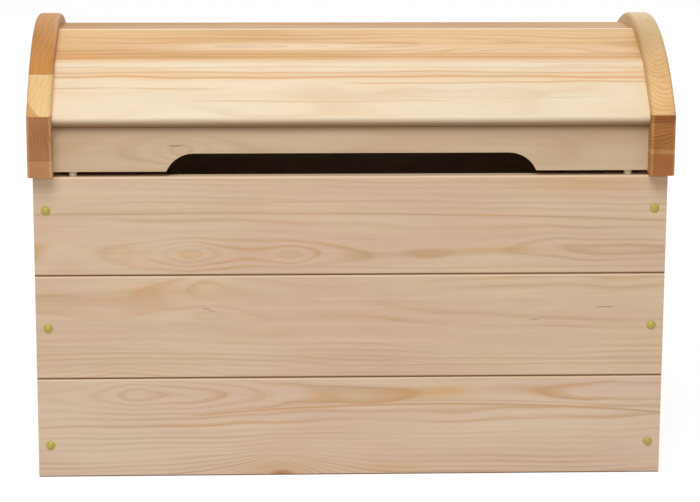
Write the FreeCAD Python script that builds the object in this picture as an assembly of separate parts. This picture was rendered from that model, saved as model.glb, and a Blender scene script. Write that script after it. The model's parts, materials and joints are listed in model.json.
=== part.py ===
"""Pine storage chest: a boarded box with an arched, planked lid on two butt hinges.

X runs across the front, Y runs from front to back, Z is up.
The origin is on the floor, at the middle of the chest's width and of the lid's depth.
Lengths are in millimetres and angles in radians.
"""

import FreeCAD
import Part

import math
import os

# Box
box_width = 800.0
box_depth = 400.0
wall_thickness = 19.0
side_thickness = 31.0
board_cover = 135.0
top_board_rip = 7.0
bottom_board_rip = 5.0

# Tongued joints
tongue_length = 6.0
tongue_thickness = 6.0
tongue_clearance = 0.2
arris = 2.0

# Box floor
floor_thickness = 9.0
floor_clearance = 0.5
floor_height = 28.0
floor_cleat_size = 20.0

# Caps over the wall screws
cap_edge_inset = 42.5
cap_radius = 6.0
cap_height = 3.4
cap_stem_radius = 3.8
cap_stem_length = 5.5
cap_stem_sides = 6
screw_recess_radius = 4.0
screw_recess_depth = 6.0

# Lid outline
lid_gap = 7.0
arch_gap = 4.0
arch_thickness = 31.0
arch_overhang = 5.0
arch_front_reach = 24.0
arch_back_reach = 16.0
arch_side_height = 77.0
arch_rise = 96.0
arch_edge = 4.0

# Lid planks
plank_thickness = 19.0
plank_sink = 12.0
plank_count = 5
back_plank_share = 0.78
nose_setback = 17.0
back_plank_reach = 6.0

# Lid rails with their stub tenons, and cleats
rail_thickness = 19.0
tenon_thickness = 9.0
tenon_length = 12.0
tenon_height = 44.0
tenon_shoulder = 10.0
tenon_clearance = 0.1
lid_cleat_width = 20.0
lid_cleat_height = 26.0

# Hand cut-out in the front rail
cutout_flat_length = 396.0
cutout_height = 23.0
cutout_end_radius = 38.0

# Bumpers
bumper_radius = 5.0
bumper_clearance = 0.2
bumper_side_inset = 24.0

# Hinges
hinge_inset = 150.0
hinge_length = 60.0
leaf_height = 30.0
leaf_thickness = 1.6
leaf_corner = 4.0
knuckle_radius = 3.0
knuckle_gap = 0.3
pin_radius = 1.5
pin_clearance = 0.05
pin_head_radius = 2.4
pin_head_height = 0.8
leaf_knuckle_gap = 0.4

# Lid stay, a four-bar linkage whose arms run parallel to the lines hinge to pivot
stay_wall_offset = 6.0
stay_arm_width = 14.0
stay_arm_thickness = 2.0
stay_side_gap = 0.3
stay_box_pivot_back = 87.0
stay_box_pivot_drop = 96.5
stay_lid_pivot_front = 150.0
stay_lid_pivot_rise = 30.0
stay_rivet_radius = 2.5
stay_rivet_clearance = 0.05
stay_elbow_clearance = 0.4
stay_rivet_head_radius = 4.5
stay_rivet_head_height = 1.4
bracket_thickness = 2.0
bracket_width = 18.0
bracket_length = 46.0
bracket_corner = 5.0
bracket_boss_radius = 6.5
stay_stop_start = 8.0
stay_stop_length = 10.0
stay_stop_thickness = 2.0
lid_open_angle = math.radians(95)

# One overrun for every cutting tool
overrun = 1.0

# Heights and faces that several pieces share
box_height = 3 * board_cover - top_board_rip - bottom_board_rip
arch_depth = box_depth + arch_front_reach + arch_back_reach
front_face = arch_front_reach - arch_depth / 2
back_face = front_face + box_depth
side_inner_face = box_width / 2 - side_thickness
board_edges = [0, board_cover - bottom_board_rip, 2 * board_cover - bottom_board_rip, box_height]
board_names = ["bottom", "middle", "top"]

arch_bottom = box_height + arch_gap
arch_kink = arch_bottom + arch_side_height
arch_outer_face = box_width / 2 + arch_overhang
arch_inner_face = arch_outer_face - arch_thickness
arch_radius = (arch_rise ** 2 + (arch_depth / 2) ** 2) / (2 * arch_rise)
arc_centre_height = arch_kink + arch_rise - arch_radius
rail_bottom = box_height + lid_gap

plank_radius = arch_radius - plank_sink
first_angle = -math.asin((arch_depth / 2 - nose_setback) / plank_radius)
last_angle = math.asin((back_face + back_plank_reach) / plank_radius)
plank_step = (last_angle - first_angle) / (plank_count - 1 + back_plank_share)
joint_angles = [first_angle + step * plank_step for step in range(plank_count + 1)]

pin_y = back_face + knuckle_radius
pin_z = box_height + lid_gap / 2

x_axis = FreeCAD.Vector(1, 0, 0)
y_axis = FreeCAD.Vector(0, 1, 0)


# General shapes

def face_of(points):
    """Flat face through a closed run of corner points."""
    return Part.Face(Part.makePolygon(points + points[:1]))


def prism_along_x(outline, start, end):
    """Solid from an outline of (y, z) points, between two x positions."""
    points = [FreeCAD.Vector(start, y, z) for y, z in outline]
    return face_of(points).extrude(x_axis * (end - start))


def prism_along_y(outline, start, end):
    """Solid from an outline of (x, z) points, between two y positions."""
    points = [FreeCAD.Vector(x, start, z) for x, z in outline]
    return face_of(points).extrude(y_axis * (end - start))


def block(low, high):
    """Plain block between two corners."""
    size = [top - bottom for bottom, top in zip(low, high)]
    return Part.makeBox(size[0], size[1], size[2], FreeCAD.Vector(*low))


def rod(radius, start, end):
    """Round bar between two points."""
    start = FreeCAD.Vector(*start)
    reach = FreeCAD.Vector(*end) - start
    return Part.makeCylinder(radius, reach.Length, start, reach)


def export(name, shapes):
    """Write one named piece, or one group of equal pieces."""
    shape = shapes if isinstance(shapes, Part.Shape) else Part.makeCompound(shapes)
    shape.exportStep(f"parts/{name}.step")


# Box walls

def wall_outline(low, high, thickness, has_groove, has_tongue):
    """Section of a wall board as (depth from its outer face, height) points."""
    middle = thickness / 2
    tongue = tongue_thickness / 2
    groove = tongue + tongue_clearance
    groove_top = low + tongue_length + tongue_clearance
    tongue_top = high + tongue_length
    points = [(0, low + arris), (0, high - arris), (arris, high)]
    if has_tongue:
        points += [(middle - tongue, high), (middle - tongue, tongue_top)]
        points += [(middle + tongue, tongue_top), (middle + tongue, high)]
    points += [(thickness - arris, high), (thickness, high - arris)]
    points += [(thickness, low + arris), (thickness - arris, low)]
    if has_groove:
        points += [(middle + groove, low), (middle + groove, groove_top)]
        points += [(middle - groove, groove_top), (middle - groove, low)]
    return points + [(arris, low)]


def board_levels():
    """Name, lower edge and upper edge of the boards, from the floor up."""
    return zip(board_names, board_edges[:-1], board_edges[1:])


def screw_places():
    """Where the wall screws stand, as (x, z): one for each board at each end."""
    heights = [cap_edge_inset, (board_edges[1] + board_edges[2]) / 2, box_height - cap_edge_inset]
    inset = box_width / 2 - side_thickness / 2
    return [(x, z) for x in (-inset, inset) for z in heights]


def screw_recess(x, z, face, inward):
    """Round recess that sinks a screw's head below the face, under its cap."""
    return rod(screw_recess_radius, (x, face - inward * overrun, z),
               (x, face + inward * screw_recess_depth, z))


def screw_cap(x, z, face, inward):
    """Domed plastic cap with a six-sided stem that plugs the screw's recess."""
    rim = FreeCAD.Vector(x + cap_radius, face, z)
    crown = FreeCAD.Vector(x, face - inward * cap_height, z)
    dome_radius = (cap_radius ** 2 + cap_height ** 2) / (2 * cap_height)
    half_turn = math.asin(cap_radius / dome_radius) / 2
    sink = cap_height - dome_radius * (1 - math.cos(half_turn))
    middle = FreeCAD.Vector(x + dome_radius * math.sin(half_turn), face - inward * sink, z)
    centre = FreeCAD.Vector(x, face, z)
    dome_edges = [Part.Arc(crown, middle, rim).toShape()] + Part.makePolygon([rim, centre, crown]).Edges
    dome = Part.Face(Part.Wire(dome_edges)).revolve(centre, y_axis, math.degrees(2 * math.pi))
    turns = [2 * math.pi * side / cap_stem_sides for side in range(cap_stem_sides)]
    corners = [FreeCAD.Vector(x + cap_stem_radius * math.cos(turn), face,
                              z + cap_stem_radius * math.sin(turn)) for turn in turns]
    return dome.fuse(face_of(corners).extrude(y_axis * inward * cap_stem_length))


def long_wall(prefix, face, inward):
    """Front or back wall of three boards, with the caps over its screws."""
    for name, low, high in board_levels():
        outline = wall_outline(low, high, wall_thickness, low > 0, high < box_height)
        points = [(face + inward * depth, z) for depth, z in outline]
        board = prism_along_x(points, -box_width / 2, box_width / 2)
        for x, z in screw_places():
            if low < z < high:
                board = board.cut(screw_recess(x, z, face, inward))
        export(f"{prefix}_board_{name}", board)
    export(f"{prefix}_screw_caps", [screw_cap(x, z, face, inward) for x, z in screw_places()])


def side_wall(prefix, side):
    """Left or right wall of three thick boards, between the long walls."""
    for name, low, high in board_levels():
        outline = wall_outline(low, high, side_thickness, low > 0, high < box_height)
        points = [(side * (box_width / 2 - depth), z) for depth, z in outline]
        board = prism_along_y(points, front_face + wall_thickness, back_face - wall_thickness)
        export(f"{prefix}_side_board_{name}", board)


def box_floor():
    """Floor panel on four cleats that run along the walls."""
    front = front_face + wall_thickness
    back = back_face - wall_thickness
    panel_low = (floor_clearance - side_inner_face, front + floor_clearance, floor_height)
    panel_high = (side_inner_face - floor_clearance, back - floor_clearance,
                  floor_height + floor_thickness)
    export("floor_panel", block(panel_low, panel_high))
    bottom = floor_height - floor_cleat_size
    cleats = {
        "front": ((-side_inner_face, front), (side_inner_face, front + floor_cleat_size)),
        "back": ((-side_inner_face, back - floor_cleat_size), (side_inner_face, back)),
        "left": ((-side_inner_face, front + floor_cleat_size),
                 (floor_cleat_size - side_inner_face, back - floor_cleat_size)),
        "right": ((side_inner_face - floor_cleat_size, front + floor_cleat_size),
                  (side_inner_face, back - floor_cleat_size)),
    }
    for name, (low, high) in cleats.items():
        export(f"floor_cleat_{name}", block(low + (bottom,), high + (floor_height,)))


# Lid

def polar(radius, angle, along=0):
    """Point of the lid's section: radius and angle from the arc's centre, then a tangential step."""
    y = radius * math.sin(angle) + along * math.cos(angle)
    z = arc_centre_height + radius * math.cos(angle) - along * math.sin(angle)
    return (y, z)


def towards(start, end, distance):
    """Point at a distance from one point on the way to another."""
    share = distance / math.dist(start, end)
    return tuple(a + share * (b - a) for a, b in zip(start, end))


def facet_point(index, y, depth=0):
    """Point at a y position on a facet of the planked lid, or at a depth under it."""
    start = polar(plank_radius, joint_angles[index])
    end = polar(plank_radius, joint_angles[index + 1])
    rise = (end[1] - start[1]) / (end[0] - start[0])
    drop = depth * math.hypot(1, rise)
    return (y, start[1] + rise * (y - start[0]) - drop)


def inner_corner(index):
    """Corner under a joint between two planks, where their undersides meet."""
    return polar(plank_radius - plank_thickness / math.cos(plank_step / 2), joint_angles[index])


def joint_end(index, has_tongue):
    """Mitred plank edge at a joint, from the top face down, with its tongue or groove."""
    angle = joint_angles[index]
    middle = plank_radius - plank_thickness / 2
    half = tongue_thickness / 2
    length = tongue_length
    if not has_tongue:
        half += tongue_clearance
        length += tongue_clearance
    return [
        polar(plank_radius - arris, angle),
        polar(middle + half, angle), polar(middle + half, angle, length),
        polar(middle - half, angle, length), polar(middle - half, angle),
        inner_corner(index),
    ]


def middle_plank(index):
    """Section of a plank between two joints."""
    start = polar(plank_radius, joint_angles[index])
    end = polar(plank_radius, joint_angles[index + 1])
    front_edge = joint_end(index, False)
    back_edge = joint_end(index + 1, True)
    return [towards(start, end, arris), towards(end, start, arris)] + back_edge + front_edge[::-1]


def back_plank():
    """Section of the ripped last plank, with a square back end over the back rail."""
    index = plank_count - 1
    start = polar(plank_radius, joint_angles[index])
    end = facet_point(index, back_face + back_plank_reach)
    below = facet_point(index, back_face + back_plank_reach, plank_thickness)
    front_edge = joint_end(index, False)
    return [towards(start, end, arris), towards(end, start, arris),
            towards(end, below, arris), below] + front_edge[::-1]


def nose_plank():
    """Front plank: a flat board whose front edge is a full round nose."""
    corner = polar(plank_radius, joint_angles[0])
    joint = polar(plank_radius, joint_angles[1])
    length = math.dist(corner, joint)
    along = ((corner[0] - joint[0]) / length, (corner[1] - joint[1]) / length)
    inward = (-along[1], along[0])
    radius = plank_thickness / 2
    tip = (corner[0] + radius * (along[0] + inward[0]), corner[1] + radius * (along[1] + inward[1]))
    below = (corner[0] + plank_thickness * inward[0], corner[1] + plank_thickness * inward[1])
    run = [corner, towards(joint, corner, arris)] + joint_end(1, True) + [below]
    corners = [FreeCAD.Vector(arch_inner_face, y, z) for y, z in run]
    middle = FreeCAD.Vector(arch_inner_face, *tip)
    nose = Part.Arc(corners[-1], middle, corners[0]).toShape()
    wire = Part.Wire(Part.makePolygon(corners).Edges + [nose])
    return Part.Face(wire).extrude(x_axis * (-2 * arch_inner_face))


def planks():
    """The lid's planks, from the nose at the front to the ripped one at the back."""
    export("lid_plank_front", nose_plank())
    for index in range(1, plank_count - 1):
        plank = prism_along_x(middle_plank(index), -arch_inner_face, arch_inner_face)
        export(f"lid_plank_{index + 1}", plank)
    export("lid_plank_back", prism_along_x(back_plank(), -arch_inner_face, arch_inner_face))


def arch_solid(side):
    """Thick arched side of the lid, with its long edges eased."""
    low, high = sorted((side * arch_inner_face, side * arch_outer_face))
    front = FreeCAD.Vector(low, -arch_depth / 2, arch_kink)
    back = FreeCAD.Vector(low, arch_depth / 2, arch_kink)
    crown = FreeCAD.Vector(low, 0, arc_centre_height + arch_radius)
    foot_back = FreeCAD.Vector(low, arch_depth / 2, arch_bottom)
    foot_front = FreeCAD.Vector(low, -arch_depth / 2, arch_bottom)
    edges = [Part.Arc(front, crown, back).toShape()]
    edges += Part.makePolygon([back, foot_back, foot_front, front]).Edges
    arch = Part.Face(Part.Wire(edges)).extrude(x_axis * (high - low))
    rim = [edge for edge in arch.Edges
           if edge.BoundBox.XLength < arch_edge and edge.BoundBox.ZMax > arch_bottom + overrun]
    arch = arch.makeChamfer(arch_edge, rim)
    for y in (front_face + rail_thickness / 2, back_face - rail_thickness / 2):
        arch = arch.cut(rail_tenon(side, y, tenon_clearance))
    return arch


def rail_tenon(side, y, clearance):
    """Stub tenon of a rail past an arch's inner face, or its mortise with a clearance all round."""
    half = tenon_thickness / 2 + clearance
    low, high = sorted((side * arch_inner_face, side * (arch_inner_face + tenon_length + clearance)))
    foot = rail_bottom + tenon_shoulder
    return block((low, y - half, foot - clearance), (high, y + half, foot + tenon_height + clearance))


def cutout_tool():
    """Hand cut-out: a long flat top with round shoulders that run out at the rail's lower edge."""
    flat = cutout_flat_length / 2
    top = rail_bottom + cutout_height
    shoulder_angle = math.acos(1 - cutout_height / cutout_end_radius)

    def shoulder(side, angle):
        x = side * (flat + cutout_end_radius * math.sin(angle))
        z = top - cutout_end_radius * (1 - math.cos(angle))
        return FreeCAD.Vector(x, front_face - overrun, z)

    arcs = []
    for side in (-1, 1):
        points = [shoulder(side, step * shoulder_angle / 2) for step in range(3)]
        arcs.append((Part.Arc(*points).toShape(), points))
    down = FreeCAD.Vector(0, 0, -overrun)
    left, right = arcs[0][1], arcs[1][1]
    run = Part.makePolygon([left[2], left[2] + down, right[2] + down, right[2]])
    top_edge = Part.makePolygon([left[0], right[0]])
    wire = Part.Wire(Part.__sortEdges__(run.Edges + top_edge.Edges + [arc for arc, _ in arcs]))
    return Part.Face(wire).extrude(y_axis * (rail_thickness + 2 * overrun))


def rails():
    """Front rail with the hand cut-out, and plain back rail, under the end planks."""
    front_back = front_face + rail_thickness
    back_front = back_face - rail_thickness
    front_outline = [(front_face, rail_bottom), facet_point(0, front_face, plank_thickness),
                     facet_point(0, front_back, plank_thickness), (front_back, rail_bottom)]
    last = plank_count - 1
    back_outline = [(back_front, rail_bottom), facet_point(last, back_front, plank_thickness),
                    facet_point(last, back_face, plank_thickness), (back_face, rail_bottom)]
    front = prism_along_x(front_outline, -arch_inner_face, arch_inner_face).cut(cutout_tool())
    back = prism_along_x(back_outline, -arch_inner_face, arch_inner_face)
    for side in (-1, 1):
        front = front.fuse(rail_tenon(side, front_face + rail_thickness / 2, 0))
        back = back.fuse(rail_tenon(side, back_face - rail_thickness / 2, 0))
    export("lid_front_rail", front)
    export("lid_back_rail", back)


def lid_cleat(side):
    """Curved cleat inside an arch, that carries the plank ends."""
    low, high = sorted((side * arch_inner_face, side * (arch_inner_face - lid_cleat_width)))
    start = front_face + rail_thickness
    end = back_face - rail_thickness
    radius = plank_radius - plank_thickness - lid_cleat_height
    top = [facet_point(0, start, plank_thickness)]
    top += [inner_corner(index) for index in range(1, plank_count)]
    top += [facet_point(plank_count - 1, end, plank_thickness)]
    bottom = [(end, arc_centre_height + math.sqrt(radius ** 2 - end ** 2))]
    bottom += [(start, arc_centre_height + math.sqrt(radius ** 2 - start ** 2))]
    points = [FreeCAD.Vector(low, y, z) for y, z in bottom[1:] + top + bottom[:1]]
    crown = FreeCAD.Vector(low, 0, arc_centre_height + radius)
    underside = Part.Arc(points[-1], crown, points[0]).toShape()
    wire = Part.Wire(Part.makePolygon(points).Edges + [underside])
    return Part.Face(wire).extrude(x_axis * (high - low))


def arches():
    """Both arched sides of the lid, and the cleats inside them."""
    for prefix, side in (("left", -1), ("right", 1)):
        export(f"{prefix}_arch", arch_solid(side))
        export(f"{prefix}_lid_cleat", lid_cleat(side))


def bumpers():
    """Two round bumpers under the front rail that meet the box's top edge."""
    y = front_face + wall_thickness / 2
    for prefix, side in (("left", -1), ("right", 1)):
        x = side * (arch_inner_face - bumper_side_inset)
        foot = box_height + bumper_clearance
        export(f"bumper_{prefix}", rod(bumper_radius, (x, y, foot), (x, y, rail_bottom)))


# Hinges

def knuckle_spans(x):
    """Three equal knuckles as (start, end), the middle one on the box leaf."""
    third = hinge_length / 3
    edges = [x - hinge_length / 2 + step * third for step in range(4)]
    gap = knuckle_gap / 2
    return [(low + gap, high - gap) for low, high in zip(edges[:-1], edges[1:])]


def hinge_leaf(x, spans, side):
    """One leaf on the outer face, with its knuckles; side is 1 upwards and -1 downwards."""
    clear = knuckle_radius + leaf_knuckle_gap
    low, high = sorted((pin_z + side * clear, pin_z + side * leaf_height))
    leaf = block((x - hinge_length / 2, back_face, low),
                 (x + hinge_length / 2, back_face + leaf_thickness, high))
    outer = pin_z + side * leaf_height
    corners = [edge for edge in leaf.Edges if edge.BoundBox.YLength > leaf_thickness / 2
               and abs(edge.BoundBox.Center.z - outer) < leaf_corner]
    leaf = leaf.makeChamfer(leaf_corner, corners)
    for start, end in spans:
        tab_low, tab_high = sorted((pin_z, pin_z + side * (clear + overrun)))
        tab = block((start, back_face, tab_low), (end, back_face + leaf_thickness, tab_high))
        leaf = leaf.fuse(tab).fuse(rod(knuckle_radius, (start, pin_y, pin_z), (end, pin_y, pin_z)))
    for start, end in spans:
        bore = rod(pin_radius + pin_clearance, (start - overrun, pin_y, pin_z),
                   (end + overrun, pin_y, pin_z))
        leaf = leaf.cut(bore)
    return leaf.removeSplitter()


def hinge_pin(x, side):
    """Hinge pin with a flat head just outside the knuckles, on the side where it is driven in."""
    half = side * hinge_length / 2
    pin = rod(pin_radius, (x - half, pin_y, pin_z), (x + half, pin_y, pin_z))
    head = rod(pin_head_radius, (x + half, pin_y, pin_z), (x + half + side * pin_head_height, pin_y, pin_z))
    return pin.fuse(head).removeSplitter()


def hinges():
    """Two butt hinges on the back faces of the box and the back rail."""
    for prefix, side in (("left", -1), ("right", 1)):
        x = side * (box_width / 2 - hinge_inset)
        first, middle, last = knuckle_spans(x)
        export(f"{prefix}_hinge_lid_leaf", hinge_leaf(x, [first, last], 1))
        export(f"{prefix}_hinge_box_leaf", hinge_leaf(x, [middle], -1))
        export(f"{prefix}_hinge_pin", hinge_pin(x, side))


# Lid stay

def stay_arm(plane, start, end, start_bore, end_bore):
    """Flat steel arm with round eyes, between two (y, z) pivots."""
    radius = stay_arm_width / 2
    middle = ((start[0] + end[0]) / 2, (start[1] + end[1]) / 2)
    length = math.dist(start, end)
    strap = block((plane, middle[0] - length / 2, middle[1] - radius),
                  (plane + stay_arm_thickness, middle[0] + length / 2, middle[1] + radius))
    turn = math.degrees(math.atan2(end[1] - start[1], end[0] - start[0]))
    strap.rotate(FreeCAD.Vector(plane, *middle), x_axis, turn)
    for pivot in (start, end):
        strap = strap.fuse(rod(radius, (plane,) + pivot, (plane + stay_arm_thickness,) + pivot))
    for pivot, bore in ((start, start_bore), (end, end_bore)):
        strap = strap.cut(rod(bore, (plane - overrun,) + pivot,
                              (plane + stay_arm_thickness + overrun,) + pivot))
    return strap.removeSplitter()


def stay_stop(plane, side_plane, elbow, closed_turn):
    """Ear at the elbow of the lower arm, whose bent tab meets the upper arm when the lid is open."""
    near = stay_arm_width / 2 + stay_side_gap
    far = near + stay_stop_thickness
    end = stay_stop_start + stay_stop_length
    top = plane + stay_arm_thickness
    y, z = elbow
    ear = block((plane, y, z), (top, y + end, z + far))
    tab = block((side_plane, y + stay_stop_start, z + near), (top, y + end, z + far))
    stop = ear.fuse(tab)
    stop.rotate(FreeCAD.Vector(plane, y, z), x_axis, math.degrees(closed_turn + lid_open_angle))
    return stop


def stay_bracket(face, plane, pivot):
    """Bracket plate on a side, with a round boss and the pivot stud of an arm at a plane along x."""
    y, z = pivot
    plate = block((face, y - bracket_width / 2, z - bracket_length / 2),
                  (face + bracket_thickness, y + bracket_width / 2, z + bracket_length / 2))
    corners = [edge for edge in plate.Edges if edge.BoundBox.XLength > bracket_thickness / 2]
    plate = plate.makeChamfer(bracket_corner, corners)
    boss_end = plane - stay_side_gap
    boss = rod(bracket_boss_radius, (face, y, z), (boss_end, y, z))
    return plate.fuse(boss).fuse(stay_rivet(boss_end, plane, pivot)).removeSplitter()


def stay_rivet(start, arm, pivot):
    """Rivet from a start position, through an arm, with a head inside the chest."""
    y, z = pivot
    neck = arm + stay_arm_thickness + stay_side_gap
    shank = rod(stay_rivet_radius, (start, y, z), (neck, y, z))
    head = rod(stay_rivet_head_radius, (neck, y, z), (neck + stay_rivet_head_height, y, z))
    return shank.fuse(head).removeSplitter()


def lid_stay():
    """Folding stay on the left side: two arms on bracket studs, with a rivet at the elbow."""
    box_pivot = (pin_y - stay_box_pivot_back, pin_z - stay_box_pivot_drop)
    lid_pivot = (pin_y - stay_lid_pivot_front, pin_z + stay_lid_pivot_rise)
    elbow = (box_pivot[0] - stay_lid_pivot_front, box_pivot[1] + stay_lid_pivot_rise)
    lower_plane = stay_wall_offset - side_inner_face
    upper_plane = lower_plane - stay_arm_thickness - stay_side_gap
    running = stay_rivet_radius + stay_rivet_clearance
    loose = stay_rivet_radius + stay_elbow_clearance
    upper_turn = math.atan2(lid_pivot[1] - elbow[1], lid_pivot[0] - elbow[0])
    stop = stay_stop(lower_plane, upper_plane, elbow, upper_turn)
    stop = stop.cut(rod(running, (upper_plane,) + elbow, (lower_plane + stay_arm_thickness,) + elbow))
    lower_arm = stay_arm(lower_plane, box_pivot, elbow, running, running).fuse(stop)
    export("stay_lower_arm", lower_arm.removeSplitter())
    export("stay_upper_arm", stay_arm(upper_plane, elbow, lid_pivot, loose, running))
    export("stay_box_bracket", stay_bracket(-side_inner_face, lower_plane, box_pivot))
    export("stay_lid_bracket", stay_bracket(-arch_inner_face, upper_plane, lid_pivot))
    export("stay_elbow_rivet", stay_rivet(upper_plane, lower_plane, elbow))


os.makedirs("parts", exist_ok=True)
long_wall("front", front_face, 1)
long_wall("back", back_face, -1)
side_wall("left", -1)
side_wall("right", 1)
box_floor()
arches()
planks()
rails()
bumpers()
hinges()
lid_stay()
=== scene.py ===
"""Looks of the pine storage chest: oiled boards, a planked lid between two arches, steel fittings.

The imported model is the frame. Its boards, planks, rails and fittings stay and get their finish here.
The arches get rounded edges, and the small screws that the solids leave out are added.
Lengths are in metres and angles in radians, in the frame's own axes.
"""

import json
import logging
import math
from dataclasses import dataclass, field
from enum import Enum
from functools import partialmethod
from typing import Iterable, Sequence, Union

import bmesh
import bpy
from mathutils import Matrix, Vector

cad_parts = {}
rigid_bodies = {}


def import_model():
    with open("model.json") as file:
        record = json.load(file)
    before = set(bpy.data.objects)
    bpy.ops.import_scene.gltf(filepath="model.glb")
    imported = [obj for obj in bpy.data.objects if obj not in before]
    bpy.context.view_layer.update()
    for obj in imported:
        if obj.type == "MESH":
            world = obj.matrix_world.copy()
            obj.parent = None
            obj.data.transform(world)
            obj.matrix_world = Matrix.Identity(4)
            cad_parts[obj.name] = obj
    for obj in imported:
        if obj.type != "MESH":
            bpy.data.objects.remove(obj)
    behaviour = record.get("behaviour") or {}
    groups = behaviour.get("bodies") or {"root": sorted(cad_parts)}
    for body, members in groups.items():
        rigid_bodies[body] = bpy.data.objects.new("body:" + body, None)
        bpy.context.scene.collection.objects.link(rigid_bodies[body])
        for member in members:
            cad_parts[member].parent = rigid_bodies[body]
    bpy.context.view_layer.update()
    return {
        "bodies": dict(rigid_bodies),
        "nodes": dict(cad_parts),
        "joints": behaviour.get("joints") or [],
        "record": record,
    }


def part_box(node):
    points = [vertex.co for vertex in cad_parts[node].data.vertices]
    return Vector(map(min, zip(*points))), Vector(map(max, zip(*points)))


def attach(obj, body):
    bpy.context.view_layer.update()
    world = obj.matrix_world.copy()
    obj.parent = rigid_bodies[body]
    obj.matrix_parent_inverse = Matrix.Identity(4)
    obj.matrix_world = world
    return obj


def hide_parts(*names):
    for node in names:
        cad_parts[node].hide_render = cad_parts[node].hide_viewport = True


log = logging.getLogger("storage_chest")

Point = tuple[float, float, float]
Point2 = tuple[float, float]
Colour = tuple[float, float, float, float]
Number = Union[float, "Field"]
Shade = Union[Colour, "Field"]
Inputs = dict[Union[str, int], Union[Number, Shade, Vector]]
Material = bpy.types.Material
Mesh = bmesh.types.BMesh

RIGHT, BACK, UP = Vector((1, 0, 0)), Vector((0, 1, 0)), Vector((0, 0, 1))
IMAGE_WIDTH = 700
SMOOTH_ANGLE = math.radians(35)


def paint(red: int, green: int, blue: int) -> Colour:
    """Turn a colour as it looks on a screen into the renderer's linear one.

    Args:
        red: Red from 0 to 255.
        green: Green from 0 to 255.
        blue: Blue from 0 to 255.

    Returns:
        The linear colour with full opacity.
    """
    shares = (red / 255, green / 255, blue / 255)
    # The screen's own curve: straight near black, a power above
    linear = [share / 12.92 if share <= 0.04045 else ((share + 0.055) / 1.055) ** 2.4 for share in shares]
    return (*linear, 1.0)


# Node graphs written as sums


@dataclass(frozen=True)
class Field:
    """A number or colour that varies over a surface: one output socket of a node graph."""

    graph: "Graph"
    socket: bpy.types.NodeSocket

    def math(self, operation: str, other: Number = 0.0) -> "Field":
        """One arithmetic node on this field, with a second number where the operation has one."""
        return self.graph.result("Math", {0: self, 1: other}, operation=operation)

    __add__ = partialmethod(math, "ADD")
    __sub__ = partialmethod(math, "SUBTRACT")
    __mul__ = partialmethod(math, "MULTIPLY")
    __truediv__ = partialmethod(math, "DIVIDE")
    __neg__ = partialmethod(math, "MULTIPLY", -1.0)

    def fade(self) -> "Field":
        """Fall from one at nought towards nought: e to the power of minus this field."""
        return (-self).math("EXPONENT")

    def step(self, low: float, high: float) -> "Field":
        """Smooth rise from nought at one value to one at another, or fall where the first is larger."""
        inputs = {"Value": self, "From Min": low, "From Max": high}
        return self.graph.result("MapRange", inputs, "Result", interpolation_type="SMOOTHSTEP")

    def dot(self, direction: Vector) -> "Field":
        """Length of this vector along a fixed direction."""
        return self.graph.result("VectorMath", {0: self, 1: direction}, "Value", operation="DOT_PRODUCT")

    def shaded(self, change: "Field") -> "Field":
        """This colour made lighter or darker by a share."""
        return self.graph.result("VectorMath", {0: self, "Scale": change + 1.0}, operation="SCALE")


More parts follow.
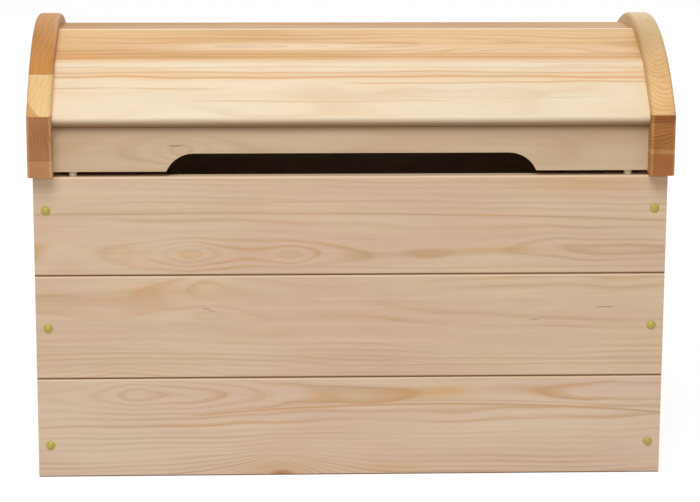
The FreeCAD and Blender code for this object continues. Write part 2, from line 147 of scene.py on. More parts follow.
class Graph:
    """Adds nodes to one material's tree and links them."""

    MIX_SHARE, MIX_UNDER, MIX_OVER, MIX_RESULT = 0, 6, 7, 2
    RING_PROFILE = ((0.0, 0.3), (0.2, 0.0), (0.46, 0.06), (0.76, 0.72), (0.88, 1.0), (1.0, 0.3))

    def __init__(self, tree: bpy.types.NodeTree) -> None:
        """Start on an emptied node tree."""
        self.tree = tree
        tree.nodes.clear()

    def node(self, kind: str, inputs: Inputs, **settings: str) -> bpy.types.Node:
        """Add one node.

        Args:
            kind: The node's type, without the words that all types start with.
            inputs: Fields or fixed values, by the name or number of the input socket.
            settings: The node's own settings, by name.

        Returns:
            The node.
        """
        node = self.tree.nodes.new("ShaderNode" + kind)
        for name, setting in settings.items():
            setattr(node, name, setting)
        for key, value in inputs.items():
            if isinstance(value, Field):
                self.tree.links.new(value.socket, node.inputs[key])
            else:
                node.inputs[key].default_value = value
        return node

    def result(self, kind: str, inputs: Inputs, output: Union[str, int] = 0, **settings: str) -> Field:
        """Add one node and take one of its outputs."""
        return Field(self, self.node(kind, inputs, **settings).outputs[output])

    def coordinate(self, output: str) -> Field:
        """One output of the texture coordinate node, such as the object's own place or normal."""
        return self.result("TexCoord", {}, output)

    def place(self) -> list[Field]:
        """The object's own place, as one field for each axis."""
        return [self.coordinate("Object").dot(axis) for axis in (RIGHT, BACK, UP)]

    def noise(self, x: Number, y: Number, z: Number, detail: float = 1.0, roughness: float = 0.5) -> Field:
        """Soft noise of about one unit in size, between nought and one.

        Args:
            x: First coordinate.
            y: Second coordinate.
            z: Third coordinate.
            detail: How many finer layers it has.
            roughness: How strong the finer layers are.

        Returns:
            The noise.
        """
        inputs = {"Vector": self.result("CombineXYZ", {0: x, 1: y, 2: z}), "Scale": 1.0,
                  "Detail": detail, "Roughness": roughness}
        return self.result("TexNoise", inputs)

    def rings(self, count: Field, start: float) -> tuple[Field, Field]:
        """Darkness across each growth ring, and a random number for each ring.

        Args:
            count: Number of rings from the pith.
            start: Start of the random numbers.

        Returns:
            The darkness and the random number, both between nought and one.
        """
        node = self.node("ValToRGB", {"Fac": count.math("FRACT")})
        ramp = node.color_ramp
        ramp.interpolation = "EASE"
        while len(ramp.elements) < len(self.RING_PROFILE):
            ramp.elements.new(1.0)
        for element, (position, level) in zip(ramp.elements, self.RING_PROFILE):
            element.position = position
            element.color = (level, level, level, 1.0)
        year = count.math("FLOOR") + start
        chance = self.result("TexWhiteNoise", {"W": year}, "Value", noise_dimensions="1D")
        return Field(self, node.outputs["Color"]), chance

    def mix(self, share: Number, under: Shade, over: Shade, blend: str = "MIX") -> Field:
        """Blend of two colours: a share of the second one laid over the first."""
        inputs = {self.MIX_SHARE: share, self.MIX_UNDER: under, self.MIX_OVER: over}
        return self.result("Mix", inputs, self.MIX_RESULT, data_type="RGBA", blend_type=blend)

    def bump(self, height: Field, strength: float, distance: float) -> Field:
        """Surface normal raised by a height field."""
        return self.result("Bump", {"Strength": strength, "Distance": distance, "Height": height})

    def shown(self) -> Field:
        """One for what the camera sees, straight, in a reflection or through a clear surface.

        Returns:
            One or nought.
        """
        path = self.node("LightPath", {})
        camera, glossy, clear = (Field(self, path.outputs[f"Is {ray} Ray"])
                                 for ray in ("Camera", "Glossy", "Transmission"))
        return camera.math("MAXIMUM", glossy).math("MAXIMUM", clear)

    def end(self, kind: str, shader: bpy.types.Node) -> None:
        """Link a shader to the graph's output node."""
        self.tree.links.new(shader.outputs[0], self.node(kind, {}).inputs["Surface"])

    def surface(self, **sockets: Union[Number, Shade]) -> None:
        """End in one principled shader, with its sockets by name and underscores for spaces."""
        inputs = {name.replace("_", " "): value for name, value in sockets.items()}
        self.end("OutputMaterial", self.node("BsdfPrincipled", inputs))


def new_graph(name: str) -> tuple[Material, Graph]:
    """Make a material.

    Args:
        name: Name of the material.

    Returns:
        The material and the graph that fills it.
    """
    material = bpy.data.materials.new(name)
    material.use_nodes = True
    return material, Graph(material.node_tree)


# Pine


@dataclass(frozen=True)
class Wood:
    """Where a place lies in one board, as fields along the grain, across the face and into the wood."""

    graph: Graph
    along: Field
    across: Field
    depth: Field
    seed: float

    def noise(self, rates: Point2, shift: Point2, detail: float = 1.0, roughness: float = 0.5) -> Field:
        """Noise with one rate per metre along the grain and one across it and into the wood, and two shifts."""
        return self.graph.noise(self.along * rates[0] + shift[0], self.across * rates[1],
                                self.depth * rates[1] + shift[1], detail, roughness)


@dataclass(frozen=True)
class BoardFrame:
    """Directions of a board: its middle on the good face, along the grain, across, and into the wood.

    The arris that looks along `across` times `bright_edge` is rubbed pale with a painted highlight, and the
    other one gets painted shade, up to `rim` from the middle where that is given.
    """

    middle: Vector
    along: Vector
    across: Vector
    inward: Vector
    bright_edge: float = 0.0
    rim: float = 0.0

    def wood(self, graph: Graph, seed: float) -> Wood:
        """Places in this board, as fields of a graph."""
        axes = (self.along, self.across, self.inward)
        return Wood(graph, *(graph.coordinate("Object").dot(axis) - self.middle.dot(axis) for axis in axes), seed)


@dataclass(frozen=True)
class Oval:
    """A place on a board's face, with its half length along the grain and its half width."""

    along: float
    across: float
    half_length: float
    half_width: float

    def shares(self, wood: Wood) -> tuple[Field, Field]:
        """Distance from the middle, along and across, as shares of the oval's halves."""
        return (wood.along - self.along) / self.half_length, (wood.across - self.across) / self.half_width

    def square(self, wood: Wood) -> Field:
        """Squared distance from the middle, one on the outline."""
        along, across = self.shares(wood)
        return along * along + across * across


@dataclass(frozen=True)
class Figure(Oval):
    """A place that the growth rings run round: they rise there, or sink where `rings` is below nought."""

    rings: float

    TIP_SLOPE = 1.5
    TIP_ROUNDING = 0.3
    BEND = 0.7
    BEND_RATE = 14.0

    def swell(self, wood: Wood) -> Field:
        """Swell of the rings, drawn out to tips along the grain.

        Args:
            wood: Places in the board.

        Returns:
            One in the middle, and less around it.
        """
        bend = wood.graph.noise(wood.along * self.BEND_RATE, wood.seed, self.along * 50.0) - 0.5
        along, across = self.shares(wood)
        across = across + bend * self.BEND
        reach = (along * along + self.TIP_ROUNDING ** 2).math("SQRT") * self.TIP_SLOPE
        return (reach - self.TIP_ROUNDING * self.TIP_SLOPE + across * across).fade()


@dataclass(frozen=True)
class Knot(Oval):
    """A branch cut through: a dark oval with rings of its own."""

    strength: float = 0.7
    core: Colour = paint(172, 112, 72)

    RIM = paint(204, 152, 108)
    RING = 0.16
    EDGE = (1.15, 0.5)
    WOBBLE = 0.25
    WOBBLE_RATE = 160.0

    def laid(self, wood: Wood, colour: Field) -> Field:
        """Lay the knot over a colour.

        Args:
            wood: Places in the board.
            colour: Colour of the board.

        Returns:
            The colour with the knot.
        """
        rate = self.WOBBLE_RATE
        wobble = wood.graph.noise(wood.along * rate, wood.across * rate, wood.seed, 2.0) - 0.5
        radius = self.square(wood).math("SQRT") + wobble * self.WOBBLE
        rings = radius.math("PINGPONG", self.RING) * 2.4
        inside = radius.step(*self.EDGE) * self.strength
        return wood.graph.mix(inside, colour, wood.graph.mix(rings, self.core, self.RIM))


@dataclass(frozen=True)
class SoftPatch(Oval):
    """A soft oval patch: resin, paler wood, and on the front rail a long band of painted shadow."""

    strength: float
    colour: Colour

    def laid(self, wood: Wood, colour: Field) -> Field:
        """Lay the patch over a colour."""
        return wood.graph.mix(self.square(wood).fade() * self.strength, colour, self.colour)


@dataclass(frozen=True)
class Streak:
    """A strong growth line that wanders along a board and may rise to a crown."""

    across: float
    width: float
    strength: float
    wander: float = 0.004
    start: float = -1.0
    end: float = 1.0
    crown: float = 0.0
    crown_at: float = 0.0

    CROWN_REACH = 0.3
    FADE = 0.03
    WANDER_RATE = 5.5

    def dark(self, wood: Wood) -> Field:
        """Darkness of the line.

        Args:
            wood: Places in the board.

        Returns:
            The line's strength in its middle, and less around it.
        """
        path = wood.graph.noise(wood.along * self.WANDER_RATE, self.across * 90.0, wood.seed) - 0.5
        off = wood.across - self.across + path * (2 * self.wander)
        if self.crown:
            way = (wood.along - self.crown_at) / self.CROWN_REACH
            off = off + (way * way - 1.0) * self.crown
        off = off / self.width
        started = wood.along.step(self.start - self.FADE, self.start + self.FADE)
        going_on = wood.along.step(self.end + self.FADE, self.end - self.FADE)
        return (off * off).fade() * started * going_on * self.strength


@dataclass(frozen=True)
class Pine:
    """Oiled pine: growth rings about a pith line, with fibres, knots and stains.

    Attributes:
        early: Colour of the pale wood of a ring.
        late: Colour of the dark wood of a ring.
        amber: Colour of the dark wood of the rings with most resin.
        blush: Colour of the slow patches.
        wear_and_highlight_colour: Colour of the arris that faces the light: wood rubbed pale, with a painted
            highlight.
        wear: How strongly that arris takes this colour.
        oil: Colour of painted shade on the arris that faces away, along the shaded joint and on faces that turn down.
        end_grain: Colour that cut ends are multiplied by.
        pith_across: Place of the pith line across the face.
        pith_depth: Depth of the pith line under the face.
        slope: How much deeper the pith line gets per metre along.
        wander: How far the pith line wanders.
        waves: How far the rings wave, in rings.
        ring_width: Width of one growth ring.
        contrast: How strongly the late wood shows.
        figure_strength: How strongly the late wood shows in the middle of a figure.
        streaky: How strongly fine streaks show.
        handled: How strongly faces that turn down, such as the underside of the lid's nose, get painted shade.
        seed: Start of this board's own noise.
        figures: Places that the rings run round.
        knots: Knots on the face.
        stains: Soft patches on the face, with the front rail's long band of painted shadow.
        streaks: Strong lines on the face.
        roughness: Roughness of the oiled face.
        sheen: Strength of its mirror reflection.
    """

    early: Colour
    late: Colour
    amber: Colour
    blush: Colour
    wear_and_highlight_colour: Colour = paint(243, 218, 184)
    wear: float = 0.7
    oil: Colour = paint(116, 76, 42)
    end_grain: Colour = paint(222, 196, 164)
    pith_across: float = 0.0
    pith_depth: float = 0.06
    slope: float = 0.01
    wander: float = 0.006
    waves: float = 1.5
    ring_width: float = 0.0068
    contrast: float = 0.55
    figure_strength: float = 1.1
    streaky: float = 0.5
    handled: float = 0.0
    seed: float = 0.0
    figures: tuple[Figure, ...] = ()
    knots: tuple[Knot, ...] = ()
    stains: tuple[SoftPatch, ...] = ()
    streaks: tuple[Streak, ...] = ()
    roughness: float = 0.52
    sheen: float = 0.28

    # How often the noises change per metre: along the grain, or along and across it
    DRIFT, SWAY, RING_WIDTHS = 2.2, 3.1, 55.0
    WAVES, FADING, PATCHES, RESIN = (6.0, 20.0), (4.5, 20.0), (3.2, 15.0), (4.0, 12.0)
    BANDS, FIBRES, DUCTS = (4.0, 170.0), (22.0, 1100.0), (45.0, 900.0)
    FIBRE_RELIEF = 0.00025
    ARRIS_TILT = (0.4, 0.65)
    RIM_FALL = (0.0036, 0.0022)

    def ring_count(self, wood: Wood) -> Field:
        """Count the growth rings between the pith and a place in the wood.

        Args:
            wood: Places in the board.

        Returns:
            The number of rings.
        """
        noise, along = wood.graph.noise, wood.along
        drift = noise(along * self.DRIFT + self.seed, self.seed, 0.0) - 0.5
        sway = noise(along * self.SWAY, self.seed, 4.0) - 0.5
        wave = wood.noise(self.WAVES, (self.seed, 0.0)) - 0.5
        side = wood.across + sway * self.wander - self.pith_across
        below = wood.depth + along * self.slope + drift * (2 * self.wander) + self.pith_depth
        radius = (side * side + below * below).math("SQRT")
        widths = noise(radius * self.RING_WIDTHS, self.seed, 7.0) - 0.5
        count = radius / self.ring_width + widths * 1.3 + wave * self.waves
        for figure in self.figures:
            count = count + figure.swell(wood) * figure.rings
        return count

    def darkness(self, wood: Wood) -> Field:
        """Share of dark late wood.

        Args:
            wood: Places in the board.

        Returns:
            The share.
        """
        late, chance = wood.graph.rings(self.ring_count(wood), self.seed * 13.0)
        length, width = self.FADING
        fading = wood.graph.noise(wood.along * length, wood.across * width, self.seed + 2.0)
        fading = fading.step(0.3, 0.66) * 0.75 + 0.25
        for figure in self.figures:
            fading = fading.math("MAXIMUM", figure.swell(wood) * self.figure_strength)
        dark = late * (chance * 0.8 + 0.3) * fading * self.contrast
        for streak in self.streaks:
            dark = dark.math("MAXIMUM", streak.dark(wood))
        return dark

    def face_colour(self, wood: Wood, dark: Field, bands: Field, fibres: Field) -> Field:
        """Colour of the board's face.

        Args:
            wood: Places in the board.
            dark: Share of late wood.
            bands: Noise of the fine streaks.
            fibres: Noise of the fibres.

        Returns:
            The colour, before its edges are worn.
        """
        graph = wood.graph
        patches = wood.noise(self.PATCHES, (self.seed, 0.0), 2.0)
        colour = graph.mix(patches.step(0.36, 0.64), self.early, self.blush)
        for stain in self.stains:
            colour = stain.laid(wood, colour)
        length, width = self.RESIN
        resin = graph.noise(wood.along * length, wood.across * width, self.seed + 5.0).step(0.42, 0.6)
        colour = graph.mix(dark, colour, graph.mix(resin, self.late, self.amber))
        ducts = wood.noise(self.DUCTS, (self.seed, 0.0), 0.0).step(0.76, 0.86)
        for change in ((bands - 0.5) * (0.34 * self.streaky), (fibres - 0.5) * 0.08, ducts * -0.12):
            colour = colour.shaded(change)
        for knot in self.knots:
            colour = knot.laid(wood, colour)
        return colour

    def with_edges(self, wood: Wood, colour: Field, frame: BoardFrame) -> Field:
        """Rub one arris pale with a painted highlight, paint shade on the other, a joint and undersides, darken cut
        ends.

        Args:
            wood: Places in the board.
            colour: Colour of its face.
            frame: The board's directions.

        Returns:
            The finished colour.
        """
        graph = wood.graph
        normal = graph.coordinate("Normal")
        # Painted highlight and painted shade: the arris that faces the light is made pale, partly as rubbed wood, and
        # the one facing away is darkened.
        if frame.bright_edge:
            tilt = normal.dot(frame.across * frame.bright_edge)
            colour = graph.mix(tilt.step(*self.ARRIS_TILT) * self.wear, colour, self.wear_and_highlight_colour)
            colour = graph.mix((-tilt).step(*self.ARRIS_TILT) * 0.85, colour, self.oil)
        # Painted shade: a dark band along the edge whose arris faces away, where the joint's groove lies in shade.
        if frame.rim:
            reach = wood.across * -frame.bright_edge
            low, high = (frame.rim - fall for fall in self.RIM_FALL)
            colour = graph.mix(reach.step(low, high) * 0.7, colour, self.oil)
        # Painted shade on faces that turn down, darkest on undersides such as that of the lid's nose.
        if self.handled:
            colour = graph.mix(normal.dot(-UP).step(-0.55, 0.75) * self.handled, colour, self.oil)
        facing = normal.dot(frame.along).math("ABSOLUTE")
        return graph.mix(facing.step(0.45, 0.95), colour, self.end_grain, "MULTIPLY")

    def material(self, name: str, frame: BoardFrame) -> Material:
        """Make this pine's material for one board.

        Args:
            name: Name of the material.
            frame: The board's directions.

        Returns:
            The material.
        """
        material, graph = new_graph(name)
        wood = frame.wood(graph, self.seed)
        dark = self.darkness(wood)
        bands = wood.noise(self.BANDS, (0.0, self.seed), 3.0, 0.6)
        fibres = wood.noise(self.FIBRES, (0.0, self.seed))
        colour = self.with_edges(wood, self.face_colour(wood, dark, bands, fibres), frame)
        relief = dark * 0.5 + fibres * 0.35 + bands * 0.3
        graph.surface(Base_Color=colour, Roughness=(bands - 0.5) * 0.16 + dark * -0.06 + self.roughness,
                      Normal=graph.bump(relief, 0.3, self.FIBRE_RELIEF), Specular_IOR_Level=self.sheen)
        return material


class Tone(Enum):
    """Groups of boards by colour, as screen levels of (early, late, amber, blush)."""

    WALL = ((220, 193, 162), (188, 154, 110), (204, 152, 100), (217, 185, 158))
    # WALL_PALE is a paler copy of WALL for the front's bottom board: painted light, making up for light that falls
    # off towards the floor.
    WALL_PALE = ((224, 200, 172), (190, 156, 114), (204, 154, 104), (221, 191, 167))
    # RAIL is a darker copy of the wall's tone: painted shade for the front rail under the lid's nose; the back rail
    # shares it.
    RAIL = ((210, 184, 150), (174, 140, 102), (184, 142, 98), (206, 177, 145))
    LID_PALE = ((240, 222, 193), (212, 170, 118), (222, 162, 104), (240, 217, 183))
    LID_GOLD = ((230, 189, 136), (188, 137, 78), (202, 139, 73), (221, 171, 112))
    # LID_BROWN is partly the third plank's browner wood and partly painted shade that damps its bright look at a
    # grazing angle.
    LID_BROWN = ((208, 164, 111), (161, 113, 62), (177, 119, 64), (197, 148, 94))
    CLEAT = ((222, 196, 158), (188, 150, 104), (200, 150, 100), (216, 186, 148))

    def pine(self, **changes: Union[float, tuple]) -> Pine:
        """Pine in this tone, with some values of its own. A lid's lit arris is paler than a wall's."""
        # The lit arris is rubbed pale with a painted highlight.
        worn_and_lit_arris = {"wear_and_highlight_colour": paint(255, 243, 220), "wear": 1.0} if self.name.startswith("LID") else {}
        return Pine(*(paint(*levels) for levels in self.value), **{**worn_and_lit_arris, **changes})


@dataclass(frozen=True)
class Lamella:
    """One board of a glued arch, from the board below up to its own top edge.

    Attributes:
        top: Height of its top edge over the arch's foot.
        early: Colour of the pale wood of a ring.
        late: Colour of the dark wood of a ring.
        pith_out: Place of the pith line outward from the arch's middle.
        pith_up: Height of the pith line over the arch's foot.
        ring_width: Width of one growth ring.
        contrast: How strongly the late wood shows.
        stretch: How much the rings count upward for each one outward.
        heart: Colour of a three-cornered piece of heartwood at its lower outer corner, if it has one.
    """

    top: float
    early: Colour
    late: Colour
    pith_out: float
    pith_up: float
    ring_width: float = 0.0042
    contrast: float = 0.5
    stretch: float = 1.0
    heart: Union[Colour, None] = None


@dataclass(frozen=True)
class GluedPine:
    """Pine of an arch, glued up from boards that lie on each other with the grain from front to back.

    Attributes:
        boards: The boards, from the foot up.
        half_thickness: Half the arch's thickness.
        seed: Start of this arch's own noise.
        heart_size: Width and height of the piece of heartwood.
        end_grain: Colour that cut ends are multiplied by.
        crown: Colour that the long grain on the crown is multiplied by.
        glue: Colour of the glue lines.
        glue_width: Half the width of a glue line.
    """

    boards: tuple[Lamella, ...]
    half_thickness: float
    seed: float
    heart_size: float = 0.017
    end_grain: Colour = paint(220, 200, 178)
    crown: Colour = paint(246, 246, 244)
    glue: Colour = paint(176, 122, 74)
    glue_width: float = 0.0007

    def stacked(self, height: Field, name: str) -> Field:
        """A number or colour that changes from board to board.

        Args:
            height: Height over the arch's foot.
            name: Name of the boards' number or colour.

        Returns:
            The number or colour at that height.
        """
        values = [getattr(board, name) for board in self.boards]
        level = values[0]
        for board, lower, upper in zip(self.boards, values, values[1:]):
            over = height.math("GREATER_THAN", board.top)
            level = (height.graph.mix(over, level, upper) if isinstance(upper, tuple)
                     else over * (upper - lower) + level)
        return level

    def joints(self, colour: Field, out: Field, height: Field) -> Field:
        """Lay the pieces of heartwood and the glue lines over the boards.

        Args:
            colour: Colour of the boards.
            out: Place outward from the arch's middle.
            height: Height over its foot.

        Returns:
            The colour with them.
        """
        mix = height.graph.mix
        for under, board in zip(self.boards, self.boards[1:]):
            if board.heart:
                corner = (-out + self.half_thickness + height - under.top) / self.heart_size
                inside = corner.step(1.04, 0.92) * height.math("GREATER_THAN", under.top)
                colour = mix(inside, colour, board.heart)
        for board in self.boards[:-1]:
            off = (height - board.top) / self.glue_width
            colour = mix((off * off).fade() * 0.6, colour, self.glue)
        return colour

    def material(self, name: str, foot: Vector, outward: Vector) -> Material:
        """Make the material of one arch.

        Args:
            name: Name of the material.
            foot: Middle of the arch's foot.
            outward: Direction away from the lid.

        Returns:
            The material.
        """
        material, graph = new_graph(name)
        _, along, height = graph.place()
        height = height - foot.z
        out = graph.coordinate("Object").dot(outward) - foot.dot(outward)
        side = out - self.stacked(height, "pith_out")
        below = (height - self.stacked(height, "pith_up")) * self.stacked(height, "stretch")
        wave = graph.noise(along * 12.0 + self.seed, out * 40.0, height * 40.0) - 0.5
        radius = (side * side + below * below).math("SQRT")
        late, chance = graph.rings(radius / self.stacked(height, "ring_width") + wave * 2.4, self.seed * 11.0)
        dark = late * (chance * 0.6 + 0.5) * self.stacked(height, "contrast")
        patches = graph.noise(along * 9.0 + self.seed, out * 30.0, height * 30.0, 3.0)
        colour = graph.mix(patches.step(0.4, 0.75) * 0.35 + dark, self.stacked(height, "early"),
                           self.stacked(height, "late"))
        fibres = graph.noise(along * 30.0, out * 900.0, height * 900.0, 2.0)
        colour = self.joints(colour, out, height).shaded((fibres - 0.5) * 0.16)
        facing = graph.coordinate("Normal").dot(BACK).math("ABSOLUTE")
        colour = graph.mix(facing.step(0.76, 0.96), colour, self.end_grain, "MULTIPLY")
        colour = graph.mix(facing.step(0.62, 0.3), colour, self.crown, "MULTIPLY")
        graph.surface(Base_Color=colour, Roughness=(fibres - 0.5) * 0.14 + 0.5, Specular_IOR_Level=Pine.sheen,
                      Normal=graph.bump(dark * 0.5 + fibres * 0.4, 0.3, Pine.FIBRE_RELIEF))
        return material


# Other finishes


@dataclass(frozen=True)
class Plastic:
    """Moulded plastic with a faint grain, and with light under its skin where that is given."""

    colour: Colour
    shade: Colour
    roughness: float
    glow: float = 0.0

    GRAIN = 700.0
    GLOW_DEPTH = 0.003

    def material(self, name: str) -> Material:
        """Make the material.

        Args:
            name: Name of the material.

        Returns:
            The material.
        """
        material, graph = new_graph(name)
        cloud = graph.noise(*(axis * self.GRAIN for axis in graph.place()), 3.0)
        glow = {"Subsurface_Weight": self.glow, "Subsurface_Scale": self.GLOW_DEPTH} if self.glow else {}
        graph.surface(Base_Color=graph.mix(cloud.step(0.3, 0.75), self.colour, self.shade),
                      Roughness=(cloud - 0.5) * 0.14 + self.roughness,
                      Normal=graph.bump(cloud, 0.15, 0.0002), **glow)
        return material


@dataclass(frozen=True)
class PlatedSteel:
    """Zinc plated sheet steel, with a rolled grain and stains."""

    colour: Colour
    stain: Colour
    roughness: float = 0.34

    def material(self, name: str) -> Material:
        """Make the material.

        Args:
            name: Name of the material.

        Returns:
            The material.
        """
        material, graph = new_graph(name)
        x, y, z = graph.place()
        cloud = graph.noise(x * 60.0, y * 60.0, z * 60.0, 4.0, 0.6)
        rolled = graph.noise(x * 40.0, y * 1500.0, z * 1500.0, 2.0)
        graph.surface(Base_Color=graph.mix(cloud.step(0.35, 0.75) * 0.4, self.colour, self.stain),
                      Roughness=(cloud - 0.5) * 0.15 + rolled * 0.08 + self.roughness,
                      Normal=graph.bump(rolled, 0.12, 0.0001), Metallic=1.0)
        return material


# Meshes


def mesh_object(name: str, shape: Mesh) -> bpy.types.Object:
    """Turn a finished mesh into an object of the scene.

    Args:
        name: Name of the object.
        shape: The mesh, which is freed.

    Returns:
        The object.
    """
    bmesh.ops.recalc_face_normals(shape, faces=shape.faces)
    mesh = bpy.data.meshes.new(name)
    shape.to_mesh(mesh)
    shape.free()
    mesh.shade_smooth()
    mesh.set_sharp_from_angle(angle=SMOOTH_ANGLE)
    made = bpy.data.objects.new(name, mesh)
    bpy.context.scene.collection.objects.link(made)
    return made


def skin(loops: Sequence[Sequence[Point]]) -> Mesh:
    """Solid through closed loops of corners.

    Args:
        loops: The loops, from one end to the other, with as many corners each.

    Returns:
        The mesh.
    """
    shape = bmesh.new()
    rings = [[shape.verts.new(corner) for corner in loop] for loop in loops]
    for lower, upper in zip(rings[:-1], rings[1:]):
        for side in range(len(lower)):
            following = (side + 1) % len(lower)
            shape.faces.new((lower[side], lower[following], upper[following], upper[side]))
    shape.faces.new(rings[0][::-1])
    shape.faces.new(rings[-1])
    return shape


def joined(name: str, shapes: Iterable[Mesh]) -> bpy.types.Object:
    """Make one object from several loose meshes.

    Args:
        name: Name of the object.
        shapes: The meshes, which are freed.

    Returns:
        The object.
    """
    whole = bmesh.new()
    for shape in shapes:
        part = bpy.data.meshes.new("part")
        shape.to_mesh(part)
        shape.free()
        whole.from_mesh(part)
        bpy.data.meshes.remove(part)
    return mesh_object(name, whole)


def middle_of(node: str) -> Vector:
    """Centre of a CAD node's box."""
    low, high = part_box(node)
    return (Vector(low) + Vector(high)) / 2


def face_middle(node: str, inward: Vector) -> Vector:
    """Middle of a side of a CAD node's box.

    Args:
        node: Name of the node.
        inward: Axis that leads from that side into the box.

    Returns:
        The place.
    """
    low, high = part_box(node)
    return Vector(low[axis] if inward[axis] > 0 else high[axis] if inward[axis] < 0 else centre
                  for axis, centre in enumerate(middle_of(node)))


@dataclass
class Assembly:
    """A part of the chest whose CAD nodes get their finish."""

    nodes: dict[str, bpy.types.Object]

    def dress(self, node: str, material: Material) -> None:
        """Give a CAD node its finish."""
        self.nodes[node].data.materials.clear()
        self.nodes[node].data.materials.append(material)

    def dress_pine(self, node: str, pine: Pine, frame: BoardFrame) -> None:
        """Give a CAD node the look of a pine board."""
        self.dress(node, pine.material(node + "_pine", frame))


# The box


@dataclass
class Box(Assembly):
    """Walls of three tongued boards, with the floor, its cleats and the screw caps.

    A wall is its boards' name, their grain, the way into the wood and their first seed: nought for the
    front wall, whose boards have a look of their own.
    """

    levels: tuple[str, ...] = ("bottom", "middle", "top")

    WALLS = (("front_board", RIGHT, BACK, 0.0), ("back_board", RIGHT, -BACK, 11.0),
             ("left_side_board", BACK, RIGHT, 21.0), ("right_side_board", BACK, -RIGHT, 31.0))
    ORANGE, YELLOW, GREY = paint(216, 170, 116), paint(216, 180, 124), paint(144, 116, 90)

    def front_pines(self) -> tuple[Pine, Pine, Pine]:
        """Pine of the front boards, with the figure that each one shows.

        Returns:
            The pine, from the bottom board up.
        """
        orange, yellow, grey = self.ORANGE, self.YELLOW, self.GREY
        bottom = Tone.WALL_PALE.pine(
            pith_across=0.04, pith_depth=0.05, slope=0.016, wander=0.004, ring_width=0.0062, seed=5.7,
            contrast=0.75,
            figures=(Figure(-0.276, 0.04, 0.055, 0.02, -1.9), Figure(-0.2, 0.04, 0.15, 0.019, -2.3),
                     Figure(-0.088, -0.066, 0.06, 0.03, 7.0), Figure(0.48, 0.042, 0.19, 0.019, -2.5)),
            knots=(Knot(-0.088, -0.067, 0.018, 0.007, 0.75),),
            stains=(SoftPatch(-0.034, 0.04, 0.02, 0.006, 0.6, orange), SoftPatch(0.126, 0.044, 0.03, 0.008, 0.7, orange),
                    SoftPatch(0.09, 0.04, 0.06, 0.008, 0.45, yellow), SoftPatch(-0.088, -0.06, 0.05, 0.016, 0.45, orange),
                    SoftPatch(0.05, -0.058, 0.05, 0.006, 0.5, yellow)),
            streaks=(Streak(0.0136, 0.0016, 0.8, 0.001, -0.2, 0.5, 0.0128, 0.1),
                     Streak(0.0185, 0.001, 0.5, 0.001, -0.1, 0.5, 0.0125, 0.11)))
        middle = Tone.WALL.pine(
            pith_across=0.03, pith_depth=0.07, slope=-0.012, wander=0.006, ring_width=0.0064, seed=8.4,
            contrast=0.46, streaky=0.65, waves=1.8,
            figures=(Figure(-0.187, 0.05, 0.05, 0.02, -1.6), Figure(-0.18, 0.014, 0.04, 0.009, 1.2),
                     Figure(-0.28, -0.075, 0.17, 0.035, 3.6)),
            knots=(Knot(-0.184, 0.0215, 0.007, 0.0012, 0.5, grey), Knot(-0.177, 0.0185, 0.006, 0.001, 0.4, grey),
                   Knot(0.325, 0.0215, 0.015, 0.001, 0.65, grey), Knot(0.234, 0.005, 0.008, 0.001, 0.45, grey)),
            stains=(SoftPatch(-0.24, 0.045, 0.06, 0.01, 0.45, orange),),
            streaks=(Streak(-0.048, 0.0012, 0.42, 0.001, -1.0, 0.03, 0.012, -0.28),
                     Streak(-0.055, 0.0012, 0.4, 0.001, -1.0, -0.02, 0.012, -0.28),
                     Streak(-0.062, 0.0011, 0.36, 0.001, -1.0, -0.08, 0.012, -0.28),
                     Streak(-0.046, 0.0012, 0.36, 0.003, 0.02, 1.0),
                     Streak(-0.0535, 0.0012, 0.42, 0.003, -0.04, 1.0)))
        top = Tone.WALL.pine(
            pith_across=-0.037, pith_depth=0.062, slope=0.012, wander=0.005, seed=3.1, contrast=0.62,
            figures=(Figure(-0.203, -0.037, 0.05, 0.0165, -3.0), Figure(-0.075, -0.036, 0.055, 0.016, -2.6),
                     Figure(0.36, -0.031, 0.2, 0.017, -2.4), Figure(-0.36, -0.045, 0.06, 0.02, 1.4)),
            stains=(SoftPatch(-0.203, -0.037, 0.014, 0.006, 0.5, orange), SoftPatch(-0.282, -0.034, 0.012, 0.01, 0.4, orange),
                    SoftPatch(0.185, -0.0315, 0.06, 0.004, 0.6, orange), SoftPatch(0.3, 0.055, 0.12, 0.012, 0.5, orange)),
            streaks=(Streak(0.0145, 0.0015, 0.62, 0.002, -1.0, 1.0, 0.003, -0.2),
                     Streak(0.032, 0.0012, 0.36, 0.002, -0.3, 0.12), Streak(0.0195, 0.001, 0.3, 0.002, -0.36, 0.0),
                     Streak(-0.054, 0.0012, 0.34, 0.004, -0.1, 0.4)))
        return bottom, middle, top

    def plain_pine(self, seed: float) -> Pine:
        """Pine of a wall board that the photograph doesn't show.

        Args:
            seed: Start of the board's own noise.

        Returns:
            The pine.
        """
        spread = math.sin(seed * 5.3)
        return Tone.WALL.pine(
            pith_across=0.03 * spread, pith_depth=0.06 + 0.015 * math.cos(seed * 3.1), slope=0.02 * spread,
            seed=seed, figures=(Figure(0.1 * spread, 0.03 * spread, 0.07, 0.018, -2.8),
                                Figure(-0.12 * spread, 0.03 * spread, 0.06, 0.015, -2.0)))

    def build(self) -> None:
        """Dress the walls, the floor and the caps."""
        front = self.front_pines()
        for wall, along, inward, seed in self.WALLS:
            for index, level in enumerate(self.levels):
                pine = self.plain_pine(seed + index) if seed else front[index]
                self.dress_board(f"{wall}_{level}", pine, along, inward)
        self.dress_floor()
        caps = Plastic(paint(190, 176, 80), paint(174, 160, 66), 0.32).material("cap_plastic")
        for wall in ("front", "back"):
            self.dress(f"{wall}_screw_caps", caps)
        log.info("Box: twelve wall boards, floor and caps dressed")

